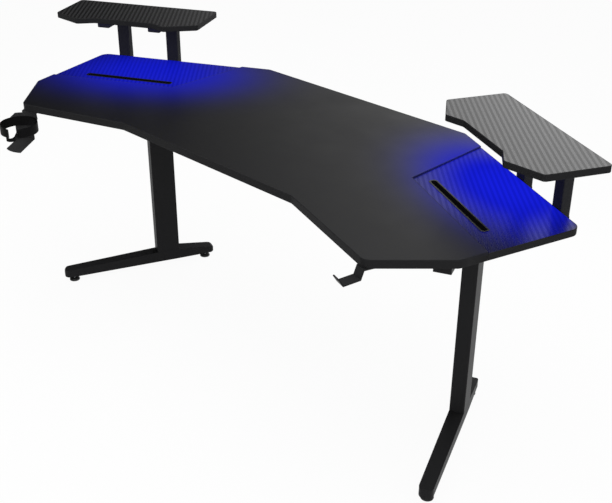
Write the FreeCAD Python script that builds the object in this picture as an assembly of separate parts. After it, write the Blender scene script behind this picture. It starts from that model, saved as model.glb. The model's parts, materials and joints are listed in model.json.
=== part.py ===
"""Winged gaming desk with two raised shelves, a cup holder and a headphone hook.

Millimetres, +Z up, +X to the right of the person sitting at the desk, +Y to the back.
The floor is at Z = 0. The desk is drawn about the middle of its board and set on
the centre of its own bounding box at the end.
"""
import FreeCAD, Part
import math
import os

# Desktop board
desk_height = 750.0
board_thick = 23.0
board_width = 1957.0
board_depth = 790.0
back_width = 833.0
wing_angle = 27.3
tip_spacing = 1436.0
tip_chamfer = 155.5
front_width = 720.0
front_recess = 125.0
corner_radius = 20.0
tip_radius = 30.0
outer_radius = 30.0
band_thick = 2.0

# Wing panels, set lower than the board beside them
panel_step = 4.0
panel_depth = 275.0
seam_spacing = 1014.0
seam_gap = 0.4

# Slots in the wing panels, with their distance from the seam and from the outer end
slot_inner_margin = 48.0
slot_outer_margin = 93.2
slot_width = 25.0
slot_setback = 46.0
slot_corner = 6.0
slot_rim = 3.0
slot_rim_height = 1.0
slot_wall = 1.5
slot_depth = 14.0

# Legs, with the distance of their columns from the board's ends and its back
leg_inset = 296.7
leg_from_back = 292.5
leg_splay = 23.4
column_width = 44.0
column_depth = 83.0
column_wall = 2.0
column_corner = 4.0
end_plate_thick = 6.0
leg_bolt_spacing = 48.0

# Foot beams
ground_gap = 20.0
foot_height = 40.0
foot_front_height = 28.0
foot_back_height = 23.0
foot_end_corner = 13.0
foot_front = 385.0
foot_back = 178.0
foot_nose_width = 41.0
foot_wall = 2.0

# Levelling feet
pad_radius = 18.5
pad_height = 9.0
pad_chamfer = 5.0
pad_inset = 33.0
pad_socket = 6.0
stud_radius = 4.0
stud_rise = 24.0
nut_radius = 8.0
nut_height = 8.0

# Top beams under the board
beam_height = 40.0
beam_front_height = 22.0
beam_back_height = 30.0
beam_tip_setback = 143.0
beam_back = 120.0
beam_wall = 2.5
lug_length = 30.0
lug_reach = 13.0
lug_thick = 3.0

# Cross rails
rail_width = 40.0
rail_height = 25.0
rail_wall = 2.0
rear_rail_setback = 230.0
front_rail_setback = 160.0
rail_plate_length = 80.0
rail_plate_thick = 4.0
rail_plate_drop = 2.0
rail_bolt_spacing = 64.0

# Joint plates under the panel seams
joint_length = 60.0
joint_width = 40.0
joint_thick = 3.0
joint_hole_length = 40.0
joint_hole_width = 20.0
seam_joint_ahead = 55.0
seam_joint_behind = 105.0
front_joint_behind = 90.4
front_joint_outer_margin = 31.6

# Raised shelves, drawn in the direction of their wing and placed from its outer end
shelf_rise = 177.0
shelf_thick = 18.0
shelf_length = 520.0
shelf_end_depth = 179.4
shelf_tip_spacing = 315.0
shelf_tip_reach = 51.0
shelf_notch_width = 208.0
shelf_notch_depth = 26.0
shelf_corner = 12.0
shelf_from_end_left = 173.4
shelf_from_end_right = 210.4

# Shelf posts and their arms
post_width = 43.0
post_depth = 28.0
post_wall = 2.0
post_corner = 3.0
post_spacing = 187.0
post_gap = 0.4
arm_height = 25.0
arm_reach = 135.4
post_foot_reach = 55.0
post_foot_thick = 6.0
post_foot_screw_setback = 14.0
post_foot_screw_spacing = 26.0
cap_thick = 2.0
cap_plug = 8.0
shelf_screw_front = 30.0
shelf_screw_back = 115.0

# Lights under the shelves
light_length = 380.0
light_width = 16.0
light_height = 6.0
light_wall = 1.0
light_setback = 2.5
strip_width = 10.0
strip_thick = 0.8
lamp_size = 5.0
lamp_height = 1.4
lamp_count = 18
diffuser_thick = 1.2

# Cup holder, placed from the left tip, its own direction turned from straight ahead
cup_from_tip = 38.0
cup_ahead = 42.0
cup_turn = 36.0
cup_radius = 58.0
cup_band_thick = 3.5
cup_band_drop = 18.0
cup_band_height = 30.0
cup_notch_root = 48.0
cup_notch_width = 31.0
cup_notch_reach = 88.0
cup_notch_turn = 3.5
cup_notch_end_height = 9.0
cup_notch_slope_start = 46.0
cup_sheet = 3.0
cup_strip_width = 55.0
cup_strip_shift = -6.5
cup_tongue_drop = 92.0
cup_tongue_left = 35.0
cup_tongue_right = 58.5
cup_tongue_bulge = 7.0
cup_back_left = 44.0
cup_back_right = 48.0
cup_shoulder = 32.0
cup_shoulder_drop = 7.0
cup_flange_width = 54.0
cup_flange_shift = 17.0
cup_flange_back = 105.0
cup_screw_setback = 17.0
cup_screw_spacing = 30.0

# Headphone hook
hook_width = 32.0
hook_thick = 4.0
hook_from_tip = 11.5
hook_flange = 42.0
hook_drop = 23.5
hook_lean = 8.0
hook_reach = 44.0
hook_sag = 5.0
hook_lip_rise = 16.5
hook_lip_run = 10.0
hook_screw_setback = 12.0
hook_screw_spacing = 20.0

# Controller of the lights
control_inset = 60.0
control_setback = 65.0
control_width = 90.0
control_depth = 50.0
control_height = 24.0
control_wall = 2.0
control_base_thick = 2.5
control_ear = 14.0
circuit_thick = 1.6
circuit_rise = 3.0
circuit_clear = 1.0
standoff_radius = 3.0
standoff_inset = 8.0
button_radius = 5.0
button_stand_out = 2.5
button_flange = 1.5
button_flange_thick = 1.2
button_travel = 1.5
switch_size = 6.0
jack_width = 9.0
jack_length = 14.0
jack_height = 11.0
jack_bore = 2.75
jack_bore_depth = 10.0
jack_offset = 20.0

# Fasteners
screw_radius = 2.5
screw_head_radius = 5.0
screw_head_height = 3.0
screw_bite = 14.0
screw_socket = 1.6
bolt_radius = 4.0
bolt_head_radius = 6.5
bolt_head_height = 5.5
bolt_thread = 14.0
rail_bolt_radius = 3.0
rail_bolt_head_radius = 5.0
rail_bolt_head_height = 4.0
rail_nut_radius = 5.5
rail_nut_height = 5.0
access_clear = 2.0

# Clearances
hole_clear = 0.2
press_clear = 0.1
plug_clear = 0.3
slide_clear = 0.3

# How far a cut runs past the faces that it opens
past = 1.0

V = FreeCAD.Vector
UP = V(0, 0, 1)
ORIGIN = V(0, 0, 0)
pieces = {}


def add(node, *shapes):
    """Put solids into a node."""
    pieces.setdefault(node, []).extend(shapes)


# Drawing helpers
def prism(points, bottom, height):
    """Upright solid over a plan outline of straight edges."""
    loop = [V(x, y, bottom) for x, y in points]
    return Part.Face(Part.makePolygon(loop + loop[:1])).extrude(V(0, 0, height))


def rounded_loop(points, radii):
    """Closed plan wire through the points; a corner with a radius is rounded by it."""
    corners = []
    for i, (x, y) in enumerate(points):
        here = V(x, y, 0)
        before = V(*points[i - 1], 0) - here
        after = V(*points[(i + 1) % len(points)], 0) - here
        half = before.getAngle(after) / 2
        reach = radii[i] / math.tan(half)
        before.normalize()
        after.normalize()
        inward = (before + after).normalize()
        middle = here + inward * (radii[i] / math.sin(half) - radii[i])
        corners.append((here + before * reach, middle, here + after * reach))
    edges = []
    for i, (start, middle, end) in enumerate(corners):
        if radii[i]:
            edges.append(Part.Arc(start, middle, end).toShape())
        edges.append(Part.LineSegment(end, corners[(i + 1) % len(corners)][0]).toShape())
    return Part.Wire(edges)


def raised(face, bottom, height):
    """Upright solid over a flat face drawn at Z = 0."""
    return face.translated(V(0, 0, bottom)).extrude(V(0, 0, height))


def block(x_range, y_range, z_range):
    """Box between two values on each axis."""
    size = [high - low for low, high in (x_range, y_range, z_range)]
    return Part.makeBox(*size, V(x_range[0], y_range[0], z_range[0]))


def rod(x, y, bottom, height, radius):
    """Upright cylinder."""
    return Part.makeCylinder(radius, height, V(x, y, bottom))


def bored(x, y, bottom, height, radius):
    """Tool for an upright hole right through a wall."""
    return rod(x, y, bottom - past, height + 2 * past, radius)


def tube_section(width, depth, corner):
    """Plan wire of a rectangular tube about the origin."""
    x, y = width / 2, depth / 2
    return rounded_loop([(-x, -y), (x, -y), (x, y), (-x, y)], [corner] * 4)


def side_profile(points, half_width, radii=None):
    """Solid with a (y, z) outline, its corners sharp or rounded, between x = -/+ half_width."""
    loop = rounded_loop(points, radii or [0] * len(points))
    loop.rotate(ORIGIN, V(1, 1, 1), 120)
    loop.translate(V(-half_width, 0, 0))
    return Part.Face(loop).extrude(V(2 * half_width, 0, 0))


def turned(shape, angle, x=0.0, y=0.0):
    """Turn a shape about the Z axis, then carry it to a place in plan."""
    copy = shape.copy()
    copy.rotate(ORIGIN, UP, angle)
    copy.translate(V(x, y, 0))
    return copy


def mirrored(shape):
    """The same piece for the other half of the desk."""
    return shape.mirror(ORIGIN, V(1, 0, 0))


def bundle(shapes):
    """Several separate solids in one node."""
    return Part.makeCompound(shapes)


def cut_all(shape, tools):
    """Cut many tools out of a solid."""
    return shape.cut(bundle(tools)) if tools else shape


def in_wing(shape):
    """From the direction of the right wing's back edge to the desk."""
    return turned(shape, -wing_angle)


def wing_point(station, square):
    """Plan point at a distance along the right wing's back edge and square to it."""
    p = in_wing(Part.Vertex(station, square, 0)).Point
    return (p.x, p.y)


def in_leg(shape):
    """From the frame of the right leg, its column on the Z axis, to the desk."""
    return turned(shape, leg_splay, leg_x, leg_y)


def leg_point(x, y):
    """Plan point of the right leg's frame."""
    p = in_leg(Part.Vertex(x, y, 0)).Point
    return (p.x, p.y)


def add_pair(name, shape):
    """Put a right-hand piece and its mirror image into a node each."""
    add("right_" + name, shape)
    add("left_" + name, mirrored(shape))


def add_mirrored(node, shape):
    """Put a right-hand piece and its mirror image into one node."""
    add(node, shape, mirrored(shape))


def mirror_point(point):
    """Plan point on the other half of the desk."""
    return (-point[0], point[1])


# Screws that rise into a board from below
board_holes = []


def upright_screw(point, seat, tip_level):
    """Screw with a socket head under seat and its tip at a level above."""
    head = rod(*point, seat - screw_head_height, screw_head_height, screw_head_radius)
    shank = rod(*point, seat, tip_level - seat, screw_radius)
    socket = rod(*point, seat - screw_head_height, screw_socket, screw_radius)
    return head.fuse(shank).removeSplitter().cut(socket)


def board_screw(node, point, seat):
    """Put a screw under a plate at seat into a node, and note its hole in the board."""
    add(node, upright_screw(point, seat, board_bottom + screw_bite))
    board_holes.append(screw_hole(point, board_bottom, screw_bite + hole_clear))


def screw_hole(point, bottom, height):
    """Blind clearance hole for such a screw."""
    return rod(*point, bottom, height, screw_radius + hole_clear)


def plate_hole(point, bottom, height):
    """Clearance hole for such a screw, right through a plate."""
    return bored(*point, bottom, height, screw_radius + hole_clear)


# Levels and plan points that many pieces share
board_bottom = desk_height - board_thick
panel_top = desk_height - panel_step
panel_thick = board_thick - panel_step
half_depth = board_depth / 2
wing_slope = math.tan(math.radians(wing_angle))
back_corner = (back_width / 2, half_depth)
outer_back = (board_width / 2, half_depth - (board_width - back_width) / 2 * wing_slope)
tip = (tip_spacing / 2, -half_depth)
outer_front = (tip[0] + tip_chamfer, tip[1] + tip_chamfer)
inner_front = (front_width / 2, front_recess - half_depth)
wing_cos = math.cos(math.radians(wing_angle))
wing_sin = math.sin(math.radians(wing_angle))
back_edge = back_corner[0] * wing_sin + back_corner[1] * wing_cos
panel_front = back_edge - panel_depth
seam_x = seam_spacing / 2
leg_x = board_width / 2 - leg_inset
leg_y = half_depth - leg_from_back


def wing_place(point):
    """Distances of a plan point along the wing and square to its back edge."""
    x, y = point
    return (x * wing_cos - y * wing_sin, x * wing_sin + y * wing_cos)


def station_at(x, square):
    """Distance along the wing to where a line parallel to its back edge meets x."""
    return (x - square * wing_sin) / wing_cos


wing_end, wing_end_square = wing_place(outer_back)
side_start, side_start_square = wing_place(outer_front)
side_slope = (wing_end - side_start) / (wing_end_square - side_start_square)


def side_station(square):
    """Distance along the wing to where a line parallel to its back edge meets the outer side."""
    return side_start + (square - side_start_square) * side_slope


def panel_zone(grow):
    """Plan area of the right panel and what lies outside the desk beyond it."""
    x = seam_x - grow
    square = panel_front - grow
    start = station_at(x, square)
    far = wing_point(start + board_width, square)
    return prism([wing_point(start, square), far, (far[0], board_depth), (x, board_depth)], -past, 2 * past)


def banded(face, bottom, height):
    """Board core and the plastic band round its edge."""
    core = face.makeOffset2D(-band_thick)
    return raised(core, bottom, height), raised(face.cut(core), bottom, height)


def make_boards():
    """Main board and the two wing panels, each with its edge band."""
    right = [inner_front, tip, outer_front, outer_back, back_corner]
    radii = [corner_radius, tip_radius, corner_radius, outer_radius, corner_radius]
    loop = right + [mirror_point(p) for p in reversed(right)]
    outline = Part.Face(rounded_loop(loop, radii + radii[::-1]))
    zone = panel_zone(0)
    notch = panel_zone(seam_gap)
    main_face = outline.cut(bundle([notch, mirrored(notch)])).Faces[0]
    panel_face = outline.common(zone).Faces[0]
    main_core, main_band = banded(main_face, board_bottom, board_thick)
    panel_core, panel_band = banded(panel_face, board_bottom, panel_thick)
    return main_core, main_band, panel_core, panel_band


# Slots
slot_square = panel_front + slot_setback
slot_start = station_at(seam_x, slot_square) + slot_inner_margin
slot_end = side_station(slot_square) - slot_outer_margin
slot_length = slot_end - slot_start


def slot_outline(width, length, corner):
    """Long plan outline with cut corners, about the origin."""
    x, y = length / 2, width / 2
    return [(-x + corner, -y), (x - corner, -y), (x, -y + corner), (x, y - corner),
            (x - corner, y), (-x + corner, y), (-x, y - corner), (-x, -y + corner)]


def slot_place(shape):
    """Carry a shape drawn about the origin to the slot of the right panel."""
    return in_wing(shape.translated(V((slot_start + slot_end) / 2, slot_square, 0)))


def make_slot():
    """Liner of the slot, and the cut that takes it."""
    outer_width = slot_width - 2 * slot_rim
    outer_length = slot_length - 2 * slot_rim
    corner = slot_corner - slot_rim / 2
    floor = panel_top - slot_depth
    rim = prism(slot_outline(slot_width, slot_length, slot_corner), panel_top, slot_rim_height)
    well = prism(slot_outline(outer_width, outer_length, corner), floor - slot_wall, slot_depth + slot_wall)
    inside = slot_outline(outer_width - 2 * slot_wall, outer_length - 2 * slot_wall, corner)
    liner = rim.fuse(well).removeSplitter().cut(prism(inside, floor, slot_depth + slot_rim_height))
    grow = 2 * hole_clear
    cut = slot_outline(outer_width + grow, outer_length + grow, corner)
    return slot_place(liner), slot_place(prism(cut, board_bottom, panel_thick))


# Legs, drawn with the column on the Z axis and the front towards -Y
foot_top = ground_gap + foot_height
beam_bottom = board_bottom - beam_height
pad_ys = (pad_inset - foot_front, foot_back - pad_inset)
leg_bolt_ys = (-leg_bolt_spacing / 2, leg_bolt_spacing / 2)
splay_cos = math.cos(math.radians(leg_splay))
splay_sin = math.sin(math.radians(leg_splay))
beam_front = (leg_y + half_depth - beam_tip_setback) / splay_cos


def foot_body(inset):
    """Tapered beam with round ends; inset draws its inside, one wall in."""
    wide = column_width / 2 - inset
    narrow = foot_nose_width / 2 - inset
    front = inset - foot_front
    back = foot_back - inset
    middle = column_depth / 2
    plan = [
        Part.LineSegment(V(wide, -middle, 0), V(wide, middle, 0)),
        Part.LineSegment(V(wide, middle, 0), V(narrow, back - narrow, 0)),
        Part.Arc(V(narrow, back - narrow, 0), V(0, back, 0), V(-narrow, back - narrow, 0)),
        Part.LineSegment(V(-narrow, back - narrow, 0), V(-wide, middle, 0)),
        Part.LineSegment(V(-wide, middle, 0), V(-wide, -middle, 0)),
        Part.LineSegment(V(-wide, -middle, 0), V(-narrow, front + narrow, 0)),
        Part.Arc(V(-narrow, front + narrow, 0), V(0, front, 0), V(narrow, front + narrow, 0)),
        Part.LineSegment(V(narrow, front + narrow, 0), V(wide, -middle, 0)),
    ]
    low = ground_gap + inset
    high = foot_top - inset
    front_top = ground_gap + foot_front_height - inset
    back_top = ground_gap + foot_back_height - inset
    corner = foot_end_corner - inset
    side = [(front, low), (back, low), (back, back_top), (middle, high), (-middle, high), (front, front_top)]
    upright = Part.Face(Part.Wire([curve.toShape() for curve in plan]))
    return raised(upright, low, high - low).common(
        side_profile(side, column_width, [0, 0, corner, 0, 0, corner]))


def make_feet():
    """Foot beam, its levelling nuts, and the pads and studs below it."""
    foot = foot_body(0).cut(foot_body(foot_wall))
    holes = [bored(0, y, ground_gap, foot_wall, stud_radius + slide_clear) for y in pad_ys]
    for y in leg_bolt_ys:
        holes.append(bored(0, y, ground_gap, foot_wall, bolt_head_radius + access_clear))
        holes.append(bored(0, y, foot_top - foot_wall, foot_wall, bolt_radius + hole_clear))
    add_pair("foot", in_leg(cut_all(foot, holes)))
    for place, y in zip(("front", "back"), pad_ys):
        pad = rod(0, y, 0, pad_height, pad_radius)
        pad = pad.makeChamfer(pad_chamfer, [pad.Edges[0]])
        socket = rod(0, y, pad_height - pad_socket, pad_socket, stud_radius)
        stud = rod(0, y, pad_height - pad_socket, pad_socket + stud_rise, stud_radius)
        add_pair(place + "_pad", in_leg(pad.cut(socket)))
        add_pair(place + "_stud", in_leg(stud))
        nut = rod(0, y, ground_gap + foot_wall, nut_height, nut_radius)
        bore = bored(0, y, ground_gap + foot_wall, nut_height, stud_radius + slide_clear)
        add_mirrored("levelling_nuts", in_leg(nut.cut(bore)))


def leg_bolt(y, seat, direction):
    """Bolt whose head lies on a wall at seat and whose thread points up (1) or down (-1)."""
    head = Part.makeCylinder(bolt_head_radius, bolt_head_height, V(0, y, seat), V(0, 0, -direction))
    shank = Part.makeCylinder(bolt_radius, bolt_thread, V(0, y, seat), V(0, 0, direction))
    return head.fuse(shank).removeSplitter()


def make_columns():
    """Column tube, the plate in each of its ends, and the bolts through them."""
    outer = Part.Face(tube_section(column_width, column_depth, column_corner))
    inner_width = column_width - 2 * column_wall
    inner_depth = column_depth - 2 * column_wall
    inner = Part.Face(tube_section(inner_width, inner_depth, column_corner - column_wall))
    add_pair("column", in_leg(raised(outer.cut(inner), foot_top, beam_bottom - foot_top)))
    gap = 2 * press_clear
    plan = tube_section(inner_width - gap, inner_depth - gap, column_corner - column_wall)
    for level in (foot_top, beam_bottom - end_plate_thick):
        hole_radius = bolt_radius + press_clear
        holes = [bored(0, y, level, end_plate_thick, hole_radius) for y in leg_bolt_ys]
        plate = cut_all(raised(Part.Face(plan), level, end_plate_thick), holes)
        add_mirrored("column_end_plates", in_leg(plate))
    for y in leg_bolt_ys:
        add_mirrored("leg_bolts", in_leg(leg_bolt(y, foot_top - foot_wall, 1)))
        add_mirrored("leg_bolts", in_leg(leg_bolt(y, beam_bottom + beam_wall, -1)))


def beam_body(inset):
    """Beam that tapers to both ends; inset draws its inside, open at the top."""
    middle = column_depth / 2
    low = beam_bottom + inset
    front = inset - beam_front
    back = beam_back - inset
    top = board_bottom + (past if inset else 0)
    side = [(front, top), (front, board_bottom - beam_front_height + inset), (-middle, low),
            (middle, low), (back, board_bottom - beam_back_height + inset), (back, top)]
    return side_profile(side, column_width / 2 - inset)


rail_bolt_level = board_bottom - (rail_height + rail_plate_drop) / 2


def level_rod(x, y, length, radius):
    """Cylinder along X at the height of the rail bolts."""
    return Part.makeCylinder(radius, length, V(x, y, rail_bolt_level), V(1, 0, 0))


rail_ys = (half_depth - rear_rail_setback, inner_front[1] + front_rail_setback)
rail_centres = [(y - leg_y + column_width / 2 * splay_sin) / splay_cos for y in rail_ys]


def make_beams():
    """Top beams, with lugs that take the screws into the board."""
    beam = beam_body(0).cut(beam_body(beam_wall))
    holes = [bored(0, y, beam_bottom, beam_wall, bolt_radius + hole_clear) for y in leg_bolt_ys]
    side = column_width / 2
    for centre in rail_centres:
        for y in (centre - rail_bolt_spacing / 2, centre + rail_bolt_spacing / 2):
            holes.append(level_rod(-side, y, beam_wall, rail_bolt_radius + hole_clear))
    add_pair("top_beam", in_leg(cut_all(beam, holes)))
    for station in (sum(rail_centres) / 2, (rail_centres[1] - beam_front) / 2):
        for sign in (-1, 1):
            xs = sorted((sign * side, sign * (side + lug_reach)))
            ys = (station - lug_length / 2, station + lug_length / 2)
            lug = block(xs, ys, (board_bottom - lug_thick, board_bottom))
            spot = (sign * (side + lug_reach / 2), station)
            lug = lug.cut(plate_hole(spot, board_bottom - lug_thick, lug_thick))
            add_mirrored("beam_lugs", in_leg(lug))
            for point in (leg_point(*spot), mirror_point(leg_point(*spot))):
                board_screw("board_screws", point, board_bottom - lug_thick)


# Cross rails
def make_rails():
    """Two tubes between the top beams, with bolted end plates."""
    inner_face = -column_width / 2
    plate_face = inner_face - rail_plate_thick
    reach = board_width
    beyond = in_leg(block((plate_face, reach), (-reach, reach), (0, desk_height)))
    names = ("rear_rail", "front_rail")
    for name, rail_y, centre in zip(names, rail_ys, rail_centres):
        ys = (rail_y - rail_width / 2, rail_y + rail_width / 2)
        inner_ys = (ys[0] + rail_wall, ys[1] - rail_wall)
        outer = block((-reach, reach), ys, (board_bottom - rail_height, board_bottom))
        levels = (board_bottom - rail_height + rail_wall, board_bottom - rail_wall)
        tube = outer.cut(block((-reach, reach), inner_ys, levels))
        add(name, tube.cut(bundle([beyond, mirrored(beyond)])))
        plate_ys = (centre - rail_plate_length / 2, centre + rail_plate_length / 2)
        plate_levels = (board_bottom - rail_height - rail_plate_drop, board_bottom)
        plate = block((plate_face, inner_face), plate_ys, plate_levels)
        for y in (centre - rail_bolt_spacing / 2, centre + rail_bolt_spacing / 2):
            plate = plate.cut(level_rod(plate_face, y, rail_plate_thick, rail_bolt_radius + hole_clear))
            grip = rail_plate_thick + beam_wall + rail_nut_height
            head_start = plate_face - rail_bolt_head_height
            head = level_rod(head_start, y, rail_bolt_head_height, rail_bolt_head_radius)
            shank = level_rod(plate_face, y, grip, rail_bolt_radius)
            add_mirrored("rail_bolts", in_leg(head.fuse(shank).removeSplitter()))
            nut_start = inner_face + beam_wall
            nut = level_rod(nut_start, y, rail_nut_height, rail_nut_radius)
            bore = level_rod(nut_start, y, rail_nut_height, rail_bolt_radius + press_clear)
            add_mirrored("rail_nuts", in_leg(nut.cut(bore)))
        add_mirrored("rail_end_plates", in_leg(plate))


# Joint plates
def make_joints():
    """Flat plates that tie each panel to the main board from below."""
    seam_ys = (rail_ys[0] - seam_joint_ahead, rail_ys[0] + seam_joint_behind)
    first = (panel_front * wing_cos - rail_ys[1] - front_joint_behind) / wing_sin
    last = side_station(panel_front) - front_joint_outer_margin
    seams = [((seam_x, y), 0.0) for y in seam_ys]
    seams += [(wing_point(station, panel_front), 90.0 - wing_angle) for station in (first, last)]
    half_length = joint_length / 2
    half_width = joint_width / 2
    seat = board_bottom - joint_thick
    for place, angle in seams:
        plate = block((-half_length, half_length), (-half_width, half_width), (seat, board_bottom))
        for x in (-joint_hole_length / 2, joint_hole_length / 2):
            for y in (-joint_hole_width / 2, joint_hole_width / 2):
                plate = plate.cut(plate_hole((x, y), seat, joint_thick))
                p = turned(Part.Vertex(x, y, 0), angle, *place).Point
                for point in ((p.x, p.y), (-p.x, p.y)):
                    board_screw("board_screws", point, seat)
        add_pair("joint_plates", turned(plate, angle, *place))


# Shelves, posts and lights, drawn along the right wing with the shelf's middle at station 0
shelf_bottom = desk_height + shelf_rise - shelf_thick
arm_bottom = shelf_bottom - arm_height
post_front = back_edge + post_gap
post_back = post_front + post_depth
arm_front = post_front - arm_reach
post_xs = (-post_spacing / 2, post_spacing / 2)


def shelf_outline():
    """Plan points of a shelf: straight back, cut corners and a notch in the front."""
    end = shelf_length / 2
    horn = shelf_tip_spacing / 2
    notch = shelf_notch_width / 2
    shoulder = post_back - shelf_end_depth
    front = shoulder - shelf_tip_reach
    inner = front + shelf_notch_depth
    return [(-end, post_back), (-end, shoulder), (-horn, front), (-notch, inner),
            (notch, inner), (horn, front), (end, shoulder), (end, post_back)]


def post_tube(depth):
    """Section of the tube that posts and arms are made of, as deep as asked."""
    wall = 2 * post_wall
    hollow = Part.Face(tube_section(post_width - wall, depth - wall, post_corner - post_wall))
    return Part.Face(tube_section(post_width, depth, post_corner)).cut(hollow)


def make_arm():
    """Tube on top of a post, along the wing's square direction."""
    z = shelf_bottom - arm_height / 2
    arm = post_tube(arm_height).extrude(V(0, 0, post_back - arm_front))
    arm.rotate(ORIGIN, V(1, 0, 0), -90)
    arm.translate(V(0, arm_front, z))
    return arm


def make_cap(y, direction):
    """Plastic cap in the end of an arm; direction points out of the tube."""
    z = shelf_bottom - arm_height / 2
    shrink = 2 * (post_wall + plug_clear)
    plate = Part.Face(tube_section(post_width, arm_height, post_corner)).extrude(V(0, 0, cap_thick))
    plan = tube_section(post_width - shrink, arm_height - shrink, post_corner - post_wall)
    plug = Part.Face(plan).extrude(V(0, 0, -cap_plug))
    cap = plate.fuse(plug)
    cap.rotate(ORIGIN, V(1, 0, 0), -90 * direction)
    cap.translate(V(0, y, z))
    return cap


def make_lights():
    """Channel with the lamps, and the diffuser that closes it from below."""
    x = light_length / 2
    back = arm_front - cap_thick - light_setback
    front = back - light_width
    low = shelf_bottom - light_height
    channel = block((-x, x), (front, back), (low, shelf_bottom))
    well = block((-x, x), (front + light_wall, back - light_wall), (low, shelf_bottom - light_wall))
    middle = (front + back) / 2
    strip_top = shelf_bottom - light_wall
    strip_ys = (middle - strip_width / 2, middle + strip_width / 2)
    strip = block((-x, x), strip_ys, (strip_top - strip_thick, strip_top))
    pitch = light_length / lamp_count
    half = lamp_size / 2
    lamp_levels = (strip_top - strip_thick - lamp_height, strip_top - strip_thick)
    for i in range(lamp_count):
        lamp_x = (i + 0.5) * pitch - x
        lamp = block((lamp_x - half, lamp_x + half), (middle - half, middle + half), lamp_levels)
        strip = strip.fuse(lamp)
    cover_ys = (front + light_wall + press_clear, back - light_wall - press_clear)
    cover = block((-x, x), cover_ys, (low, low + diffuser_thick))
    return channel.cut(well), strip.removeSplitter(), cover


def make_shelf_side(side, station, to_desk):
    """All pieces of one raised shelf; to_desk carries them to their half of the desk."""
    def place(shape):
        return to_desk(in_wing(shape.translated(V(station, 0, 0))))

    outline = Part.Face(rounded_loop(shelf_outline(), [shelf_corner] * 8))
    board, band = banded(outline, shelf_bottom, shelf_thick)
    post = raised(post_tube(post_depth), board_bottom, arm_bottom - board_bottom)
    foot_bottom = board_bottom - post_foot_thick
    foot_start = post_front - post_foot_reach
    first_screw = foot_start + post_foot_screw_setback
    half = post_width / 2
    for name, x in zip(("inner", "outer"), post_xs):
        arm = make_arm().translated(V(x, 0, 0))
        foot = block((x - half, x + half), (foot_start, post_back), (foot_bottom, board_bottom))
        for inset in (shelf_screw_front, shelf_screw_back):
            spot = (x, arm_front + inset)
            arm = arm.cut(plate_hole(spot, arm_bottom, arm_height))
            board = board.cut(screw_hole(spot, shelf_bottom, screw_bite + hole_clear))
            add("shelf_screws", place(upright_screw(spot, arm_bottom, shelf_bottom + screw_bite)))
        for y in (first_screw, first_screw + post_foot_screw_spacing):
            foot = foot.cut(plate_hole((x, y), foot_bottom, post_foot_thick))
            p = place(Part.Vertex(x, y, 0)).Point
            board_screw("board_screws", (p.x, p.y), foot_bottom)
        add("arm_caps", place(make_cap(arm_front, -1).translated(V(x, 0, 0))))
        add("arm_caps", place(make_cap(post_back, 1).translated(V(x, 0, 0))))
        add(f"{side}_{name}_post", place(post.translated(V(x, (post_front + post_back) / 2, 0))))
        add(side + "_shelf_arms", place(arm))
        add("post_feet", place(foot))
    channel, strip, cover = make_lights()
    add(side + "_shelf", place(board))
    add("shelf_bands", place(band))
    add(side + "_light_channel", place(channel))
    add(side + "_light_strip", place(strip))
    add(side + "_light_diffuser", place(cover))


# Cup holder, drawn about the middle of its ring with the front towards -Y
cup_band_top = board_bottom - cup_band_drop
cup_band_bottom = cup_band_top - cup_band_height
cup_tongue_level = board_bottom - cup_tongue_drop


def disc(radius):
    """Round plan face about the origin."""
    return Part.Face(Part.Wire(Part.makeCircle(radius)))


def handle_notch(inset):
    """Plan face of the tapered slot for a mug's handle, from the ring's middle forwards."""
    root = cup_notch_root / 2 - inset
    half = cup_notch_width / 2 - inset
    end = cup_notch_width / 2 - cup_notch_reach
    edges = [
        Part.LineSegment(V(-root, 0, 0), V(-half, end, 0)),
        Part.Arc(V(-half, end, 0), V(0, inset - cup_notch_reach, 0), V(half, end, 0)),
        Part.LineSegment(V(half, end, 0), V(root, 0, 0)),
        Part.LineSegment(V(root, 0, 0), V(-root, 0, 0)),
    ]
    return turned(Part.Face(Part.Wire([edge.toShape() for edge in edges])), cup_notch_turn)


def keyhole(inset):
    """Upright solid over the ring and its notch."""
    ring = raised(disc(cup_radius - inset), cup_band_bottom, cup_band_height)
    notch = raised(handle_notch(inset), cup_band_bottom, cup_band_height)
    return ring.fuse(notch).removeSplitter()


def make_cup_band():
    """Keyhole band whose notch gets lower towards its end."""
    front = -cup_notch_reach - past
    slope = [(-cup_notch_slope_start, cup_band_top), (front, cup_band_bottom + cup_notch_end_height),
             (front, cup_band_top + past), (-cup_notch_slope_start, cup_band_top + past)]
    above = turned(side_profile(slope, cup_radius), cup_notch_turn)
    return keyhole(0).cut(keyhole(cup_band_thick)).cut(above)


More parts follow.
